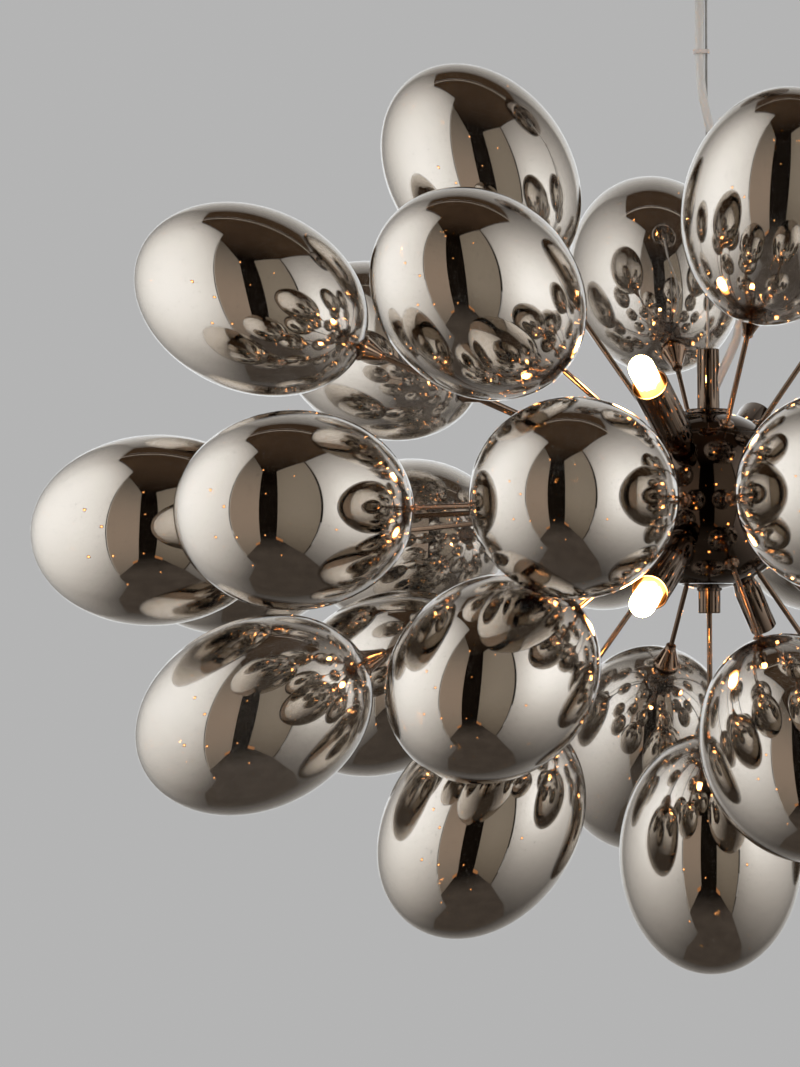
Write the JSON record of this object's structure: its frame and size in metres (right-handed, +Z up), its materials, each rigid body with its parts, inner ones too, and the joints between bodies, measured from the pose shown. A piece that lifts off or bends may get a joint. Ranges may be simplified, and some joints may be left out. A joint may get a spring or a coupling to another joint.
{
  "type": "cluster pendant light",
  "caption": "Cluster pendant light: a dark metal ball on a thin wire, with straight rods all round that end in egg-shaped smoked mirror-glass shades.",
  "frame": {"origin": "on the ceiling face of the fixing plate, above the middle of the ball", "axes": "+Z up, -Y towards the viewer of the picture, +X to the viewer's right"},
  "size_m": [0.7446, 0.6412, 0.6329],
  "materials": {
    "black_chrome": "dark polished chrome plate that reflects warm",
    "chrome": "bright chrome plate",
    "zinc_steel": "zinc-plated pressed steel",
    "wire_steel": "stranded steel wire",
    "mirror_glass": "blown glass with a smoke-grey mirror coating inside",
    "lamp_glass": "frosted lamp glass, lit warm",
    "lamp_ceramic": "unglazed white ceramic",
    "clear_flex": "clear plastic sheath over two tinned cores",
    "clear_tie": "clear plastic tie",
    "block_plastic": "moulded off-white plastic"
  },
  "bodies": {
    "fixing": {"ceiling_plate": "zinc_steel", "terminal_block": "block_plastic"},
    "rose": {"rose_cover": "chrome"},
    "link": {"hook_link": "zinc_steel"},
    "pendant": {"wire_gripper": "chrome", "flex_strap": "zinc_steel", "hanging_wire": "wire_steel", "power_flex": "clear_flex", "cord_tie": "clear_tie", "stem": "black_chrome", "stem_plate": "black_chrome", "stem_nut": "zinc_steel", "ball": "black_chrome", "ball_cap": "black_chrome", "ball_stub": "black_chrome", "lamp_sleeve_1": "black_chrome", "lamp_sleeve_2": "black_chrome", "lamp_sleeve_3": "black_chrome", "lamp_sleeve_4": "black_chrome", "lamp_holder_1": "lamp_ceramic", "lamp_holder_2": "lamp_ceramic", "lamp_holder_3": "lamp_ceramic", "lamp_holder_4": "lamp_ceramic", "shade_01": "mirror_glass", "shade_02": "mirror_glass", "shade_03": "mirror_glass", "shade_04": "mirror_glass", "shade_05": "mirror_glass", "shade_06": "mirror_glass", "shade_07": "mirror_glass", "shade_08": "mirror_glass", "shade_09": "mirror_glass", "shade_10": "mirror_glass", "shade_11": "mirror_glass", "shade_12": "mirror_glass", "shade_13": "mirror_glass", "shade_14": "mirror_glass", "shade_15": "mirror_glass", "shade_16": "mirror_glass", "shade_17": "mirror_glass", "shade_18": "mirror_glass", "shade_19": "mirror_glass", "shade_20": "mirror_glass", "shade_21": "mirror_glass", "shade_22": "mirror_glass", "shade_23": "mirror_glass", "shade_24": "mirror_glass", "shade_25": "mirror_glass", "shade_26": "mirror_glass", "shade_27": "mirror_glass", "shade_28": "mirror_glass", "shade_29": "mirror_glass", "shade_30": "mirror_glass", "shade_31": "mirror_glass", "shade_32": "mirror_glass", "shade_33": "mirror_glass"},
    "lamp_1": {"lamp_1": "lamp_glass"},
    "lamp_2": {"lamp_2": "lamp_glass"},
    "lamp_3": {"lamp_3": "lamp_glass"},
    "lamp_4": {"lamp_4": "lamp_glass"}
  },
  "joints": [
    {"name": "rose_slide", "type": "slide", "parent": "fixing", "child": "rose", "axis": [0, 0, -1], "range_m": [0, 0.022]},
    {"name": "link_swing", "type": "hinge", "parent": "fixing", "child": "link", "pos_m": [0, 0, -0.01], "axis": [1, 0, 0], "range_deg": [-4, 4]},
    {"name": "pendant_swing", "type": "hinge", "parent": "link", "child": "pendant", "pos_m": [0, 0, -0.01975], "axis": [0, 1, 0], "range_deg": [-4, 4]},
    {"name": "lamp_1_pull", "type": "slide", "parent": "pendant", "child": "lamp_1", "axis": [-0.2971, -0.774, 0.5592], "range_m": [0, 0.012]},
    {"name": "lamp_2_pull", "type": "slide", "parent": "pendant", "child": "lamp_2", "axis": [-0.2741, -0.8436, -0.4617], "range_m": [0, 0.012]},
    {"name": "lamp_3_pull", "type": "slide", "parent": "pendant", "child": "lamp_3", "axis": [0.3531, 0.452, -0.8192], "range_m": [0, 0.012]},
    {"name": "lamp_4_pull", "type": "slide", "parent": "pendant", "child": "lamp_4", "axis": [0.2557, 0.8364, 0.4848], "range_m": [0, 0.012]}
  ]
}
